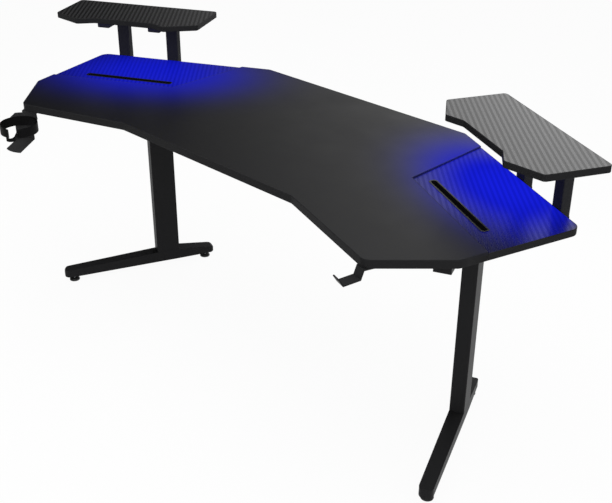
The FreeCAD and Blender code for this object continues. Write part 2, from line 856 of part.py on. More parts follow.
def make_cup_bracket():
    """Curved back plate outside the ring, with a tongue below and a flange above."""
    outer = cup_radius + cup_sheet
    strip_left = cup_strip_shift - cup_strip_width / 2
    strip_right = cup_strip_shift + cup_strip_width / 2
    flange_left = cup_flange_shift - cup_flange_width / 2
    flange_right = cup_flange_shift + cup_flange_width / 2
    tongue_bottom = cup_tongue_level - cup_sheet
    shoulder_level = board_bottom - cup_shoulder_drop
    outline = [(strip_left, tongue_bottom), (strip_right, tongue_bottom), (strip_right, cup_band_bottom),
               (cup_back_right, cup_band_top), (flange_right, board_bottom), (flange_left, board_bottom),
               (flange_left, shoulder_level), (-cup_shoulder, shoulder_level),
               (-cup_back_left, cup_band_top), (strip_left, cup_band_bottom)]
    shell = disc(outer).cut(disc(cup_radius))
    back_half = block((-outer, outer), (0, outer), (tongue_bottom, board_bottom))
    plate = raised(shell, tongue_bottom, board_bottom - tongue_bottom).common(back_half)
    plate = plate.common(turned(side_profile(outline, outer), -90))

    left_corner = V(strip_left, -cup_tongue_left, 0)
    right_corner = V(strip_right, -cup_tongue_right, 0)
    nose = (left_corner + right_corner) / 2 - V(0, cup_tongue_bulge, 0)
    edges = [
        Part.LineSegment(V(strip_right, 0, 0), V(strip_left, 0, 0)),
        Part.LineSegment(V(strip_left, 0, 0), left_corner),
        Part.Arc(left_corner, nose, right_corner),
        Part.LineSegment(right_corner, V(strip_right, 0, 0)),
    ]
    front_part = raised(Part.Face(Part.Wire([edge.toShape() for edge in edges])), tongue_bottom, cup_sheet)
    strip = block((strip_left, strip_right), (0, outer), (tongue_bottom, cup_tongue_level))
    back_part = raised(disc(outer), tongue_bottom, cup_sheet).common(strip)

    flange_levels = (board_bottom - cup_sheet, board_bottom)
    flange = block((flange_left, flange_right), (0, cup_flange_back), flange_levels)
    flange = flange.cut(raised(disc(cup_radius), cup_band_top, board_bottom - cup_band_top))
    return plate.fuse([front_part, back_part, flange]).removeSplitter()


def make_cup_holder():
    """Band, bracket and screws, on the tip of the left wing."""
    def place(shape):
        return turned(shape, cup_turn, cup_from_tip - tip[0], tip[1] - cup_ahead)

    bracket = make_cup_bracket()
    seat = board_bottom - cup_sheet
    for offset in (-cup_screw_spacing / 2, cup_screw_spacing / 2):
        spot = (cup_flange_shift + offset, cup_flange_back - cup_screw_setback)
        bracket = bracket.cut(plate_hole(spot, seat, cup_sheet))
        p = place(Part.Vertex(*spot, 0)).Point
        board_screw("accessory_screws", (p.x, p.y), seat)
    add("cup_holder_band", place(make_cup_band()))
    add("cup_holder_bracket", place(bracket))


# Headphone hook on the front edge of the right wing, drawn with its front towards -Y
def strip_outline(path, thick):
    """Side outline of a bent strip of even thickness along its middle line."""
    points = [V(0, y, z) for y, z in path]
    steps = [(b - a).normalize() for a, b in zip(points, points[1:])]
    normals = [V(0, -step.z, step.y) for step in steps]
    upper, lower = [], []
    for i, point in enumerate(points):
        before = normals[max(i - 1, 0)]
        after = normals[min(i, len(normals) - 1)]
        offset = (before + after) * (thick / 2 / (1 + before.dot(after)))
        upper.append((point.y + offset.y, point.z + offset.z))
        lower.append((point.y - offset.y, point.z - offset.z))
    return upper + lower[::-1]


def make_hook():
    """Bent strip: flange under the board, leaning drop, flat and upturned lip."""
    run = tip[0] - inner_front[0]
    rise = inner_front[1] - tip[1]
    angle = -math.degrees(math.atan2(rise, run))
    along = hook_from_tip / math.hypot(run, rise)
    x = tip[0] - run * along
    y = tip[1] + rise * along

    def place(shape):
        return turned(shape, angle, x, y)

    top = board_bottom - hook_thick / 2
    low = top - hook_drop
    out = -hook_lean - hook_reach
    bend = low - hook_sag
    path = [(hook_flange, top), (0, top), (-hook_lean, low), (out, bend),
            (out - hook_lip_run, bend + hook_lip_rise)]
    hook = side_profile(strip_outline(path, hook_thick), hook_width / 2)
    flange_bottom = board_bottom - hook_thick
    for spot_y in (hook_screw_setback, hook_screw_setback + hook_screw_spacing):
        hook = hook.cut(plate_hole((0, spot_y), flange_bottom, hook_thick))
        p = place(Part.Vertex(0, spot_y, 0)).Point
        board_screw("accessory_screws", (p.x, p.y), flange_bottom)
    add("headphone_hook", place(hook))


# Controller of the lights, under the middle of the desk's front edge
control_x = inner_front[0] - control_inset


def front_rod(start, length, level, radius):
    """Cylinder along Y in front of the controller's middle."""
    return Part.makeCylinder(radius, length, V(control_x, start, level), V(0, 1, 0))


def make_controller():
    """Base plate, case, circuit board with its switch, push button and power jack."""
    left = control_x - control_width / 2
    right = control_x + control_width / 2
    front = inner_front[1] + control_setback
    back = front + control_depth
    low = board_bottom - control_height
    base_low = board_bottom - control_base_thick
    floor = low + control_wall
    circuit_top = floor + circuit_rise + circuit_thick
    inside = ((left + control_wall, right - control_wall), (front + control_wall, back - control_wall))
    flange_front = inside[1][0] + slide_clear
    switch_front = flange_front + button_flange_thick + button_travel + slide_clear
    button_level = circuit_top + switch_size / 2

    base = block((left - control_ear, right + control_ear), (front, back), (base_low, board_bottom))
    for x in (left - control_ear / 2, right + control_ear / 2):
        spot = (x, (front + back) / 2)
        base = base.cut(plate_hole(spot, base_low, control_base_thick))
        board_screw("accessory_screws", spot, base_low)
    add("controller_base", base)

    case = block((left, right), (front, back), (low, base_low))
    case = case.cut(block(*inside, (floor, base_low)))
    circuit_xs = (inside[0][0] + circuit_clear, inside[0][1] - circuit_clear)
    circuit_ys = (switch_front, inside[1][1] - circuit_clear)
    for x in (circuit_xs[0] + standoff_inset, circuit_xs[1] - standoff_inset):
        for y in (circuit_ys[0] + standoff_inset, circuit_ys[1] - standoff_inset):
            case = case.fuse(rod(x, y, floor, circuit_rise, standoff_radius))
    hole = front_rod(front - past, control_wall + 2 * past, button_level, button_radius + slide_clear)
    jack_x = control_x + jack_offset
    jack_xs = (jack_x - jack_width / 2, jack_x + jack_width / 2)
    window = block((jack_xs[0] - press_clear, jack_xs[1] + press_clear), (front - past, inside[1][0] + past),
                   (circuit_top - press_clear, circuit_top + jack_height + press_clear))
    add("controller_case", case.removeSplitter().cut(bundle([hole, window])))

    circuit = block(circuit_xs, circuit_ys, (floor + circuit_rise, circuit_top))
    switch_xs = (control_x - switch_size / 2, control_x + switch_size / 2)
    switch_ys = (switch_front, switch_front + switch_size)
    switch = block(switch_xs, switch_ys, (circuit_top, circuit_top + switch_size))
    add("controller_circuit", circuit.fuse(switch).removeSplitter())

    cap_length = flange_front - front + button_stand_out
    cap = front_rod(front - button_stand_out, cap_length, button_level, button_radius)
    flange = front_rod(flange_front, button_flange_thick, button_level, button_radius + button_flange)
    add("controller_button", cap.fuse(flange).removeSplitter())

    jack = block(jack_xs, (front, front + jack_length), (circuit_top, circuit_top + jack_height))
    bore_start = V(jack_x, front, circuit_top + jack_height / 2)
    add("power_jack", jack.cut(Part.makeCylinder(jack_bore, jack_bore_depth, bore_start, V(0, 1, 0))))


# The whole desk
make_feet()
make_columns()
make_beams()
make_rails()
make_joints()
make_shelf_side("right", wing_end - shelf_from_end_right, lambda shape: shape)
make_shelf_side("left", wing_end - shelf_from_end_left, mirrored)
make_cup_holder()
make_hook()
make_controller()

main_core, main_band, panel_core, panel_band = make_boards()
slot_liner, slot_cut = make_slot()
add("main_board", cut_all(main_core, board_holes))
add("main_board_band", main_band)
add("right_panel", cut_all(panel_core, board_holes + [slot_cut]))
add("left_panel", cut_all(mirrored(panel_core), board_holes + [mirrored(slot_cut)]))
add_mirrored("panel_bands", panel_band)
add_pair("slot_liner", slot_liner)

# Origin on the floor under the middle of the bounding box
whole = bundle([shape for shapes in pieces.values() for shape in shapes]).optimalBoundingBox()
shift = V(-(whole.XMin + whole.XMax) / 2, -(whole.YMin + whole.YMax) / 2, -whole.ZMin)
os.makedirs("parts", exist_ok=True)
for node, shapes in pieces.items():
    shape = bundle(shapes) if len(shapes) > 1 else shapes[0]
    shape.translated(shift).exportStep(f"parts/{node}.step")
    print(node, shape.isValid(), len(shape.Solids), round(shape.Volume))
print("nodes", len(pieces), "shift", shift, "size", whole.XLength, whole.YLength, whole.ZLength)
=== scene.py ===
# %% [markdown]
# A winged gaming desk with two raised shelves, a cup holder and a headphone hook.
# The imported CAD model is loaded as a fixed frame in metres. Its solids say where everything is.
# This script gives them rounded edges, screws, threads, finishes, light and a camera.

# %% Load the frame
import json
import math
import bmesh
import bpy
from mathutils import Matrix, Vector
from mathutils.bvhtree import BVHTree


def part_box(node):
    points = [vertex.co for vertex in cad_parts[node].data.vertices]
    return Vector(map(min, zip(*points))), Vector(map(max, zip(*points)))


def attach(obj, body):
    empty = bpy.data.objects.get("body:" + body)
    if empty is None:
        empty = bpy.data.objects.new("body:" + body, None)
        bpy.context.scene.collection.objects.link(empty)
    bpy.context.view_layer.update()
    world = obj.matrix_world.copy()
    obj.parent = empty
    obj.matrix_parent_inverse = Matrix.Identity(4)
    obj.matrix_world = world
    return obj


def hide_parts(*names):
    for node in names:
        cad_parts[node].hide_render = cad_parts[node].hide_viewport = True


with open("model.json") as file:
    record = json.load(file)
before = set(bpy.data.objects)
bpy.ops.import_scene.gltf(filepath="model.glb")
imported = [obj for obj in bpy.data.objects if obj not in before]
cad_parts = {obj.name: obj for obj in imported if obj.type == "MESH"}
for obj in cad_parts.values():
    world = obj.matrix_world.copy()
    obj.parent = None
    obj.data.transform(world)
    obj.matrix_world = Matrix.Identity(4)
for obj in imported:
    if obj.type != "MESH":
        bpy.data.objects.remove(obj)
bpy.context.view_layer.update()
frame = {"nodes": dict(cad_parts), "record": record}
bodies = frame["record"]["behaviour"]["bodies"]
body_of = {node: body for body, nodes in bodies.items() for node in nodes}
slot_of = {row["node"]: row["material_slot"] for row in frame["record"]["subparts"]}

# %% [markdown]
# The board is symmetrical about its middle, so that middle is the handiest place to measure from.
# Its edge band is the outermost ring of the top: the band's box gives the middle and the back edge.
# Half the board's depth and the angle of its wings are sizes of the CAD model.

# %% Find the middle of the board
half_depth = 0.395
wing_angle = math.radians(27.3)
band_low, band_high = (Vector(corner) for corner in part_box("main_board_band"))
middle = Vector(((band_low.x + band_high.x) / 2, band_high.y - half_depth, 0.0))
board_top = band_high.z
print("middle of the board", tuple(round(v, 4) for v in middle), "top", round(board_top, 4))

# %% [markdown]
# The photograph looks down on the desk from its right front corner with a normal lens. The eye, the
# angles and the focal length in pixels were solved from the desk's own edges, and the picture is 612
# wide. A camera's own axes are right, up and backwards, so they are the columns of its matrix.

# %% Camera
picture_width = 612
focal_pixels = 1005.21
eye = middle + Vector((2.02012, -1.91127, 1.85257))
turn, tilt, roll = (math.radians(angle) for angle in (44.39, 28.46, 0.32))
ahead = Vector((-math.sin(turn) * math.cos(tilt), math.cos(turn) * math.cos(tilt), -math.sin(tilt)))
level = Vector((math.cos(turn), math.sin(turn), 0.0))
upright = level.cross(ahead)
across = level * math.cos(roll) + upright * math.sin(roll)
above = upright * math.cos(roll) - level * math.sin(roll)
lens = bpy.data.cameras.new("studio_camera")
lens.sensor_fit = "HORIZONTAL"
lens.sensor_width = 36.0
lens.lens = focal_pixels / picture_width * lens.sensor_width
camera = bpy.data.objects.new("studio_camera", lens)
camera.matrix_world = Matrix.Translation(eye) @ Matrix((across, above, -ahead)).transposed().to_4x4()
bpy.context.scene.collection.objects.link(camera)
bpy.context.scene.camera = camera
print("lens", round(lens.lens, 2), "mm")

# %% [markdown]
# All finishes are node materials, and a few small helpers keep them readable. One turns a colour
# written as sRGB hex into the linear values that shaders use. One adds a node with its settings and
# links. The others are the few nodes that every finish needs, each as one line that gives its result.

# %% Helpers for node trees
def colour(code):
    """Linear colour of an sRGB hex code."""
    parts = [int(code[i:i + 2], 16) / 255 for i in (1, 3, 5)]
    return [p / 12.92 if p <= 0.04045 else ((p + 0.055) / 1.055) ** 2.4 for p in parts] + [1.0]


def connect(tree, node, inputs):
    """Sets or links the inputs of a node."""
    for key, value in inputs.items():
        if isinstance(value, bpy.types.NodeSocket):
            tree.links.new(value, node.inputs[key])
        else:
            node.inputs[key].default_value = value


def add(tree, kind, settings, inputs):
    """Adds a node, sets it up, and sets or links its inputs."""
    made = tree.nodes.new(kind)
    for key, value in settings.items():
        setattr(made, key, value)
    connect(tree, made, inputs)
    return made


def maths(tree, operation, *values):
    """Result of one operation on numbers."""
    return add(tree, "ShaderNodeMath", {"operation": operation}, dict(enumerate(values))).outputs[0]


def remap(tree, value, span, result, **settings):
    """A number moved from one span to another."""
    inputs = {0: value, 1: span[0], 2: span[1], 3: result[0], 4: result[1]}
    return add(tree, "ShaderNodeMapRange", settings, inputs).outputs[0]


def mixed(tree, share, first, second, **settings):
    """A share of the way from one colour to another."""
    inputs = {0: share, 6: first, 7: second}
    return add(tree, "ShaderNodeMix", {"data_type": "RGBA", **settings}, inputs).outputs[2]


def axes_of(tree, vector):
    """X, Y and Z of a vector."""
    return add(tree, "ShaderNodeSeparateXYZ", {}, {0: vector}).outputs


def noise(tree, place, size, detail):
    """Soft random spots of about that size."""
    inputs = {"Vector": place, "Scale": 1 / size, "Detail": detail}
    return add(tree, "ShaderNodeTexNoise", {}, inputs).outputs["Fac"]


def relief(tree, height, strength, depth):
    """Normals of a surface that a pattern lifts."""
    inputs = {"Height": height, "Strength": strength, "Distance": depth}
    return add(tree, "ShaderNodeBump", {}, inputs).outputs[0]


def new_finish(name):
    """A material with its shader and the coordinates of the piece it is on."""
    material = bpy.data.materials.new(name)
    material.use_nodes = True
    tree = material.node_tree
    shader = tree.nodes["Principled BSDF"]
    place = tree.nodes.new("ShaderNodeTexCoord").outputs["Object"]
    return material, tree, shader, place


finishes = {}
black = (0.0, 0.0, 0.0, 1.0)
whole = (0.0, 1.0)
half_wave = 0.5
print("helpers ready")

# %% [markdown]
# A light strip under each shelf washes the wing with blue. On the real desk the pool of light fades
# out as an oval that lies along the wing. Lamps could throw it, but a black board gives back one
# hundredth of the light, and the posts would burn out. So the pool is painted as glow, measured from
# the desk's own middle, and stays on the board in every view. A Mapping node turns and stretches the
# plan until the oval is a circle. The far corner of the right wing lies behind a post and stays dim:
# there a small pool of painted shade takes the glow away. Only a thin layer about the top is lit, not
# what stands on it. Where the painted glow is strong, the grey sheen of the room is turned down, so the
# group also says how much of the sheen stays clear.

# %% Pool of blue light
def pool_centre(along, square, side):
    """Plan point from distances along the wing and square to its back edge."""
    x = along * math.cos(wing_angle) + square * math.sin(wing_angle)
    y = square * math.cos(wing_angle) - along * math.sin(wing_angle)
    return middle + Vector((side * x, y, 0.0))


flat = 1000.0
lit_layer = 0.006
sheen_gone_level = 0.62
sheen_cut_curve = 2.0
blue = (0.008, 0.016, 1.0, 1.0)
pools = (
    {"side": 1, "along": 0.551, "square": 0.485, "reach": (0.291, 0.188, flat), "edge": 2.76, "level": 0.68},
    {"side": 1, "along": 0.860, "square": 0.560, "reach": (0.070, 0.070, flat), "edge": 2.0, "level": -0.38},
    {"side": -1, "along": 0.577, "square": 0.403, "reach": (0.325, 0.224, flat), "edge": 2.65, "level": 0.55},
)
glow = bpy.data.node_groups.new("pool_of_blue_light", "ShaderNodeTree")
glow.interface.new_socket("Place", in_out="INPUT", socket_type="NodeSocketVector")
glow.interface.new_socket("Level", in_out="OUTPUT", socket_type="NodeSocketFloat")
glow.interface.new_socket("Clear", in_out="OUTPUT", socket_type="NodeSocketFloat")
here = glow.nodes.new("NodeGroupInput").outputs["Place"]
total = 0.0
for pool in pools:
    spot = add(glow, "ShaderNodeMapping", {"vector_type": "TEXTURE"}, {
        "Vector": here,
        "Location": pool_centre(pool["along"], pool["square"], pool["side"]),
        "Rotation": (0.0, 0.0, -pool["side"] * wing_angle),
        "Scale": pool["reach"]})
    far = add(glow, "ShaderNodeVectorMath", {"operation": "LENGTH"}, {0: spot.outputs[0]}).outputs["Value"]
    fall = maths(glow, "MULTIPLY", maths(glow, "POWER", far, pool["edge"]), -1.0)
    total = maths(glow, "MULTIPLY_ADD", maths(glow, "EXPONENT", fall), pool["level"], total)
height = axes_of(glow, here)["Z"]
over_bottom = maths(glow, "GREATER_THAN", height, board_top - lit_layer)
under_top = maths(glow, "LESS_THAN", height, board_top + lit_layer)
in_layer = maths(glow, "MULTIPLY", over_bottom, under_top)
kept = maths(glow, "MULTIPLY", maths(glow, "MAXIMUM", total, 0.0), in_layer)
veil = remap(glow, kept, (0.0, sheen_gone_level), (1.0, 0.0))
clear = maths(glow, "POWER", veil, sheen_cut_curve)
add(glow, "NodeGroupOutput", {}, {"Level": kept, "Clear": clear})


def light_on(tree, place):
    """Level of the painted blue glow at a place, and how much of the sheen stays clear there."""
    return add(tree, "ShaderNodeGroup", {"node_tree": glow}, {0: place}).outputs


print("pools of light", len(pools))

# %% [markdown]
# The main top is melamine: paper soaked in resin, pressed on board against an embossed plate. That
# leaves a matte charcoal face with a fine grain that breaks up reflections. The real grain is about
# half a millimetre, drawn at 1.5 mm so that it shows. Slow noise in the roughness stands for the
# press's unevenness.

# %% Melamine top
top_grain = 0.0015
press_patch = 0.12
top_gloss = 0.12
middle_of_noise = (0.3, 0.7)
material, tree, shader, place = new_finish("pressed_melamine_charcoal")
grain = noise(tree, place, top_grain, 3.0)
cloud = noise(tree, place, press_patch, 2.0)
# The painted pool of blue light goes in as emission, and where it is strong it turns the sheen down.
lit = light_on(tree, place)
connect(tree, shader, {
    "Base Color": mixed(tree, grain, colour("#0f0f10"), colour("#161617")),
    "Roughness": remap(tree, cloud, middle_of_noise, (0.33, 0.40)),
    "Normal": relief(tree, grain, 0.08, 0.0003),
    "Emission Color": mixed(tree, lit["Level"], black, blue),
    "Emission Strength": 1.0,
    "Specular IOR Level": maths(tree, "MULTIPLY", lit["Clear"], top_gloss),
    "IOR": 1.5})
finishes["charcoal_laminate"] = material
print(material.name)

# %% [markdown]
# Wings and shelves carry a film printed like woven carbon fibre: broad slanting stripes, one bright
# and one dark, each of fine crossed threads. The stripes are 14 mm apart and run from the back left
# to the front right. Turning the plan by 45 degrees makes them plain bands, and a smooth step softens
# their edges. The threads are about 1 mm on the real film and are drawn at 2.4 mm. The bright stripes
# shine more, and take more of the painted blue glow.

# %% Carbon film
stripe_pitch = 0.01414
stripe_turn = math.radians(45)
stripe_edge = (0.17, 0.33)
thread_size = 0.0024
dark_gloss = 0.75


def carbon_film(name, dark, pale, gloss):
    """Film printed with slanting stripes of two tones."""
    material, tree, shader, place = new_finish(name)
    turned = add(tree, "ShaderNodeMapping", {"vector_type": "POINT"}, {
        "Vector": place,
        "Rotation": (0.0, 0.0, -stripe_turn),
        "Scale": (1 / stripe_pitch, 1 / stripe_pitch, 1 / stripe_pitch)})
    wave = maths(tree, "PINGPONG", axes_of(tree, turned.outputs[0])["X"], half_wave)
    stripe = remap(tree, wave, stripe_edge, whole, interpolation_type="SMOOTHSTEP")
    checker = add(tree, "ShaderNodeTexChecker", {}, {"Vector": place, "Scale": 1 / thread_size})
    threads = checker.outputs["Fac"]
    tone = mixed(tree, stripe, colour(dark), colour(pale))
    weave = remap(tree, threads, whole, (0.92, 1.08))
    # The painted blue glow goes in as emission, a little stronger on the bright stripes, and it turns the
    # sheen down where it is strong.
    lit = light_on(tree, place)
    banded = maths(tree, "MULTIPLY", lit["Level"], remap(tree, stripe, whole, (0.88, 1.06)))
    shiny = remap(tree, stripe, whole, (dark_gloss * gloss, gloss))
    connect(tree, shader, {
        "Base Color": mixed(tree, 1.0, tone, weave, blend_type="MULTIPLY"),
        "Roughness": remap(tree, stripe, whole, (0.34, 0.27)),
        "Normal": relief(tree, threads, 0.06, 0.0002),
        "Emission Color": mixed(tree, banded, black, blue),
        "Emission Strength": 1.0,
        "Specular IOR Level": maths(tree, "MULTIPLY", shiny, lit["Clear"]),
        "IOR": 1.5})
    return material


finishes["carbon_laminate"] = carbon_film("printed_carbon_film_satin", "#060607", "#2a2a2b", 0.53)
# The wings get a darker, duller copy of the film, so that the painted blue glow covers their pale stripes and
# sheen.
film_dimmed_for_glow = carbon_film("carbon_film_dimmed_for_glow", "#08080a", "#101012", 0.20)
print("stripe pitch", stripe_pitch)

# %% [markdown]
# The rest of the finishes share one build: a noise at the size of the real texture mixes two near
# tones, moves the roughness a little and lifts the surface. What differs is in a table of plain
# values. Edge bands are extruded ABS, satin and even. The frame is steel with baked powder paint,
# whose orange peel is about 1 mm. The posts have a flatter paint, with more chalk in it, that hardly
# shines, and the cup ring a plain black one. Moulded parts have a spark-eroded grain, smoother on the
# slot liners. Zinc plating is bright with cloudy patches. Grain sizes are drawn up to twice as coarse
# as the real ones.

# %% Finishes with a grain
grain_depth = 0.0004
grained = {
    "edge_band": ("extruded_abs_band", "#232324", "#2a2a2b", 0.0030, 0.38, 0.48, 0.05, 0.02, 0.0),
    "powder_coated_steel": ("powder_coated_steel", "#222223", "#29292a", 0.0018, 0.34, 0.44, 0.12, 0.03, 0.0),
    "zinc_plated_steel": ("zinc_plated_steel", "#a9adb2", "#c9ccce", 0.0040, 0.26, 0.38, 0.05, 0.5, 1.0),
    "post_paint": ("matte_powder_paint", "#2e2e2f", "#363637", 0.0018, 0.60, 0.70, 0.15, 0.04, 0.0),
    "cup_paint": ("satin_black_paint", "#0a0a0b", "#101011", 0.0018, 0.45, 0.55, 0.10, 0.05, 0.0),
    "liner_plastic": ("moulded_abs_satin", "#0f0f10", "#161617", 0.0012, 0.32, 0.40, 0.08, 0.2, 0.0),
    "black_plastic": ("moulded_abs_black", "#131314", "#1b1b1c", 0.0012, 0.40, 0.52, 0.12, 0.4, 0.0),
    "foot_plastic": ("moulded_polyethylene", "#171717", "#212121", 0.0016, 0.48, 0.60, 0.12, 0.4, 0.0),
    "light_strip": ("flexible_white_circuit", "#d9dad4", "#efefea", 0.0050, 0.45, 0.55, 0.03, 0.5, 0.0),
}
for slot, values in grained.items():
    name, dark, pale, size, smooth, rough, lift, gloss, metal = values
    material, tree, shader, place = new_finish(name)
    grain = noise(tree, place, size, 2.0)
    connect(tree, shader, {
        "Base Color": mixed(tree, grain, colour(dark), colour(pale)),
        "Roughness": remap(tree, grain, middle_of_noise, (smooth, rough)),
        "Normal": relief(tree, grain, lift, grain_depth),
        "Metallic": metal,
        "Specular IOR Level": gloss})
    finishes[slot] = material
print("grained finishes", len(grained))

# %% [markdown]
# Where a wing panel sits 4 mm lower than the board, the board's band shows as a narrow step in the
# middle of the blue pool. It takes some of that light, so the board's band gets a copy of the band
# finish with a third of the glow.

# %% Edge band beside the light
band_glow = 0.35
lit_band = finishes["edge_band"].copy()
lit_band.name = "extruded_abs_band_lit"
tree = lit_band.node_tree
lit = light_on(tree, tree.nodes["Texture Coordinate"].outputs["Object"])
connect(tree, tree.nodes["Principled BSDF"], {
    "Emission Color": mixed(tree, lit["Level"], black, blue),
    "Emission Strength": band_glow})
print(lit_band.name)

# %% [markdown]
# The light channel is drawn aluminium, brushed along its length and anodised, so its grain is long
# streaks. Stretching the noise along the channel gives them. Left and right channels lie at different
# angles, so streaks that follow the plan's X direction are close enough for a strip 16 mm wide.

# %% Anodised channel
streaks_per_metre = (40.0, 900.0, 900.0)
material, tree, shader, place = new_finish("brushed_anodised_aluminium")
drawn = add(tree, "ShaderNodeMapping", {}, {"Vector": place, "Scale": streaks_per_metre})
streak = noise(tree, drawn.outputs[0], 1.0, 2.0)
connect(tree, shader, {
    "Base Color": mixed(tree, streak, colour("#8d9094"), colour("#b4b7ba")),
    "Roughness": remap(tree, streak, whole, (0.28, 0.44)),
    "Metallic": 1.0})
finishes["anodised_channel"] = material
print(material.name)

# %% [markdown]
# The diffuser is milky polycarbonate pushed into the channel. Lit from behind it is an even blue, a
# little brighter over each lamp. The lamps are about 21 mm apart, and a soft wave along the strip
# stands for them.

# %% Lit diffuser
lamp_pitch = 0.021
haze_size = 0.006
material, tree, shader, place = new_finish("milky_polycarbonate_lit")
lamp_scale = (1 / lamp_pitch, 1 / lamp_pitch, 1.0)
drawn = add(tree, "ShaderNodeMapping", {}, {"Vector": place, "Scale": lamp_scale})
wave = maths(tree, "PINGPONG", axes_of(tree, drawn.outputs[0])["X"], half_wave)
bright = remap(tree, wave, (0.0, half_wave), (0.75, 1.0), interpolation_type="SMOOTHSTEP")
haze = noise(tree, place, haze_size, 2.0)
connect(tree, shader, {
    "Base Color": mixed(tree, haze, colour("#c9cbe0"), colour("#dfe0ee")),
    "Emission Color": mixed(tree, bright, colour("#0a0c60"), colour("#2b34ff")),
    "Emission Strength": 1.2,
    "Roughness": 0.45,
    "IOR": 1.58})
finishes["lit_diffuser"] = material
print(material.name, "lamp pitch", lamp_pitch)

# %% [markdown]
# The controller's circuit board is glass fibre with green lacquer over copper. The copper shows as
# paler tracks, about 1.5 mm wide, that run square to each other: a brick pattern with thin joints
# looks like that.

# %% Lacquered circuit board
track_spacing = 0.012
material, tree, shader, place = new_finish("green_lacquer_on_copper")
tracks = add(tree, "ShaderNodeTexBrick", {}, {
    "Vector": place,
    "Scale": 1 / track_spacing,
    "Mortar Size": 0.03,
    "Color1": colour("#0d3a24"),
    "Color2": colour("#114530"),
    "Mortar": colour("#2f7a4e")})
connect(tree, shader, {"Base Color": tracks.outputs["Color"], "Roughness": 0.3})
finishes["circuit_board"] = material
print(material.name)

# %% [markdown]
# Most nodes take the finish of their material slot. A few have one of their own: the wings a darker,
# duller copy of the shelves' film, so that the painted blue glow covers it, the board's band its share
# of the painted glow, and posts, bracket, cup ring and slot liners their own paint or grain.

# %% Choose the finishes
own_finish = {
    film_dimmed_for_glow: "right_panel left_panel",
    lit_band: "main_board_band",
    finishes["post_paint"]: "right_inner_post right_outer_post left_inner_post left_outer_post "
                            "right_shelf_arms left_shelf_arms arm_caps cup_holder_bracket",
    finishes["cup_paint"]: "cup_holder_band",
    finishes["liner_plastic"]: "right_slot_liner left_slot_liner",
}
finish_of = {node: finishes[slot] for node, slot in slot_of.items()}
finish_of.update({node: material for material, names in own_finish.items() for node in names.split()})
print("nodes with a finish", len(finish_of))

# %% [markdown]
# A CAD edge is perfectly sharp, and no real edge is. So a piece with edges of its own gets a copy whose
# loose triangles are merged into whole faces and whose sharp edges are rounded by a Bevel modifier, by
# as much as the process leaves: a trimmed edge band, a bent strip, a sawn tube. An edge that is flush
# with a neighbour, as between band and board, stays sharp. Boards, panels and shelves end in a band and
# need no copy. The copy stands for the CAD node and rides on its body.

# %% Ways to round the edges of the solids
sharp_angle = math.radians(32)
flat_angle = math.radians(0.5)
same_point = 0.00001


def as_piece(name, mesh, node):
    """A finished object from a mesh, which stands for a node."""
    obj = bpy.data.objects.new(name, mesh)
    bpy.context.scene.collection.objects.link(obj)
    mesh.materials.clear()
    mesh.materials.append(finish_of[node])
    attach(obj, body_of[node])
    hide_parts(node)
    return obj


def merged(node):
    """The triangles of a node joined into whole faces."""
    work = bmesh.new()
    work.from_mesh(frame["nodes"][node].data)
    bmesh.ops.remove_doubles(work, verts=work.verts, dist=same_point)
    bmesh.ops.dissolve_limit(work, angle_limit=flat_angle, verts=work.verts, edges=work.edges)
    return work


def surface_of(node):
    """The faces of a node, ready for a search of the nearest."""
    mesh = frame["nodes"][node].data
    points = [vert.co for vert in mesh.vertices]
    return BVHTree.FromPolygons(points, [tuple(face.vertices) for face in mesh.polygons])


def rounded(node, radius, flush_with=()):
    """A copy of a node with rounded edges, apart from those that are flush with a neighbour."""
    work = merged(node)
    weight = work.edges.layers.float.new("bevel_weight_edge")
    neighbours = [(surface_of(name), near) for name, near in flush_with]
    for edge in work.edges:
        spot = (edge.verts[0].co + edge.verts[1].co) / 2
        free = all(surface.find_nearest(spot, near)[0] is None for surface, near in neighbours)
        edge[weight] = float(free and edge.calc_face_angle(0.0) > sharp_angle)
    mesh = bpy.data.meshes.new(node + "_rounded")
    work.to_mesh(mesh)
    work.free()
    mesh.shade_smooth()
    mesh.set_sharp_from_angle(angle=sharp_angle)
    obj = as_piece(node + "_rounded", mesh, node)
    bevel = obj.modifiers.new("rounded_edges", "BEVEL")
    bevel.width = radius
    bevel.segments = 2
    bevel.limit_method = "WEIGHT"
    shading = obj.modifiers.new("flat_faces_stay_flat", "WEIGHTED_NORMAL")
    shading.keep_sharp = True
    return obj


print("edges sharper than", round(math.degrees(sharp_angle)), "degrees get rounded")

# %% [markdown]
# The radius of an edge follows from how the piece is made: 1.2 mm on trimmed bands, 0.4 mm on fine
# mouldings, 1.5 mm on feet, pads and the controller's case, 0.6 mm on sawn tubes and the controller's
# base, and 0.8 mm on bent or cut sheet, caps and the button.

# %% Round the edges of the solids
touching = 0.0003
across_seam = 0.005
flush = {
    "main_board_band": [("main_board", touching), ("right_panel", across_seam),
                        ("left_panel", across_seam), ("panel_bands", across_seam)],
    "panel_bands": [("right_panel", touching), ("left_panel", touching),
                    ("main_board_band", across_seam)],
    "shelf_bands": [("right_shelf", touching), ("left_shelf", touching)],
}
edge_radius = {
    0.0012: "main_board_band panel_bands shelf_bands",
    0.0004: "right_slot_liner left_slot_liner right_light_diffuser left_light_diffuser power_jack",
    0.0015: "right_foot left_foot controller_case "
            "right_front_pad right_back_pad left_front_pad left_back_pad",
    0.0006: "right_column left_column right_top_beam left_top_beam rear_rail front_rail "
            "right_inner_post right_outer_post left_inner_post left_outer_post "
            "right_shelf_arms left_shelf_arms controller_base",
    0.0008: "cup_holder_band cup_holder_bracket headphone_hook beam_lugs post_feet arm_caps "
            "rail_end_plates column_end_plates right_joint_plates left_joint_plates controller_button",
}
rounded_nodes = 0
for radius, names in edge_radius.items():
    for node in names.split():
        rounded(node, radius, flush.get(node, ()))
        rounded_nodes += 1
print("rounded copies", rounded_nodes)

